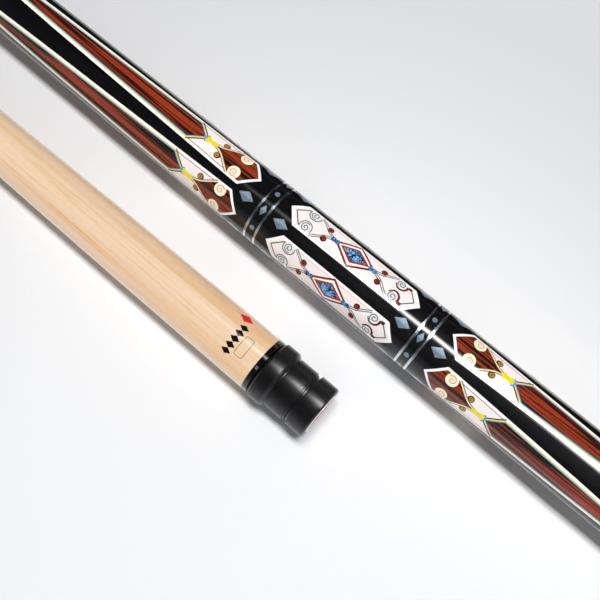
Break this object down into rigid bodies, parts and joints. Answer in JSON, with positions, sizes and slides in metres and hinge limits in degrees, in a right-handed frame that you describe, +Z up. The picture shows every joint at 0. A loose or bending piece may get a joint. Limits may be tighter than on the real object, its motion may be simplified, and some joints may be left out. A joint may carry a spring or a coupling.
{
  "type": "pool cue",
  "caption": "Two-piece pool cue shown taken apart: inlaid butt and tapered maple shaft side by side, each with a screw-on joint protector.",
  "frame": {"origin": "centre of the lowest face of the box around both sticks, on the surface they lie on", "axes": "+Y along both sticks towards the tip, +Z up, the shaft on the -X side of the butt"},
  "size_m": [0.07, 1.2143, 0.0318],
  "materials": {
    "ebony": "clear gloss lacquer",
    "cocobolo": "clear gloss lacquer",
    "white_veneer": "clear gloss lacquer",
    "yellow_veneer": "clear gloss lacquer",
    "blue_veneer": "clear gloss lacquer",
    "ivory": "gloss",
    "yellow_resin": "gloss",
    "cream_resin": "gloss",
    "red_brown_wood": "clear gloss lacquer",
    "turquoise": "gloss",
    "pearl": "gloss",
    "inlay_silver": "satin under lacquer",
    "ring_silver": "polished",
    "black_resin": "gloss",
    "protector_black": "satin",
    "protector_ring_white": "gloss",
    "protector_red": "gloss",
    "brass": "turned",
    "steel": "turned",
    "rubber": "moulded",
    "maple": "sealed satin",
    "ferrule_white": "polished",
    "fibre": "turned",
    "leather": "layered, burnished side"
  },
  "bodies": {
    "butt": {"butt_cap": "black_resin", "butt_sleeve": "ebony", "cream_scrolls": "cream_resin", "forearm": "ebony", "forearm_blue_veneers": "blue_veneer", "forearm_points": "cocobolo", "forearm_white_edges": "white_veneer", "forearm_yellow_veneers": "yellow_veneer", "front_ring_band": "ebony", "handle": "ebony", "handle_blue_veneers": "blue_veneer", "handle_points": "cocobolo", "handle_white_edges": "white_veneer", "handle_yellow_veneers": "yellow_veneer", "ivory_fields": "ivory", "joint_collar": "black_resin", "joint_collar_dashes": "inlay_silver", "joint_pin": "steel", "rear_ring_band": "ebony", "ring_diamonds": "inlay_silver", "ring_dots": "inlay_silver", "rosewood_kites": "cocobolo", "second_ring_band": "ebony", "section_screws": "steel", "silver_diamonds": "inlay_silver", "silver_rings": "ring_silver", "third_ring_band": "ebony", "turquoise_beads": "turquoise", "turquoise_diamonds": "turquoise", "weight_bolt": "steel", "window_diamond_frames": "red_brown_wood", "window_panels": "ivory", "window_scrolls": "pearl", "window_section": "ebony", "yellow_knots": "yellow_resin"},
    "shaft": {"shaft_wood": "maple", "shaft_collar": "black_resin", "shaft_collar_dashes": "inlay_silver", "shaft_insert": "brass", "ferrule": "ferrule_white", "tip_pad": "fibre", "cue_tip": "leather"},
    "shaft_protector_end": {"shaft_protector_ring": "protector_ring_white", "shaft_protector_disc": "protector_red"},
    "shaft_protector_cap": {"shaft_protector": "protector_black", "shaft_protector_stud": "steel"},
    "butt_protector_end": {"butt_protector_ring": "protector_ring_white", "butt_protector_disc": "protector_red"},
    "butt_protector_cap": {"butt_protector": "protector_black", "butt_protector_insert": "brass"},
    "bumper": {"bumper": "rubber"}
  },
  "joints": [
    {"name": "shaft_lift", "type": "slide", "parent": "butt", "child": "shaft", "axis": [0, 0, 1], "range_m": [0, 0.25]},
    {"name": "shaft_protector_draw", "type": "slide", "parent": "shaft", "child": "shaft_protector_end", "axis": [0, -1, 0.0069], "range_m": [0, 0.02]},
    {"name": "shaft_protector_turn", "type": "hinge", "parent": "shaft_protector_end", "child": "shaft_protector_cap", "pos_m": [-0.0238, -0.1299, 0.01124], "axis": [0, -1, 0.0069], "range_deg": [0, 2840]},
    {"name": "butt_protector_draw", "type": "slide", "parent": "butt", "child": "butt_protector_end", "axis": [0, 1, -0.0063], "range_m": [0, 0.032]},
    {"name": "butt_protector_turn", "type": "hinge", "parent": "butt_protector_end", "child": "butt_protector_cap", "pos_m": [0.01915, 0.1379, 0.01129], "axis": [0, 1, -0.0063], "range_deg": [0, 4540]},
    {"name": "bumper_pull", "type": "slide", "parent": "butt", "child": "bumper", "axis": [0, -1, 0.0063], "range_m": [0, 0.012]}
  ],
  "couplings": [
    {"joint": "shaft_protector_turn", "follows": "shaft_protector_draw", "rad_per_m": 2473.7},
    {"joint": "butt_protector_turn", "follows": "butt_protector_draw", "rad_per_m": 2473.7}
  ]
}
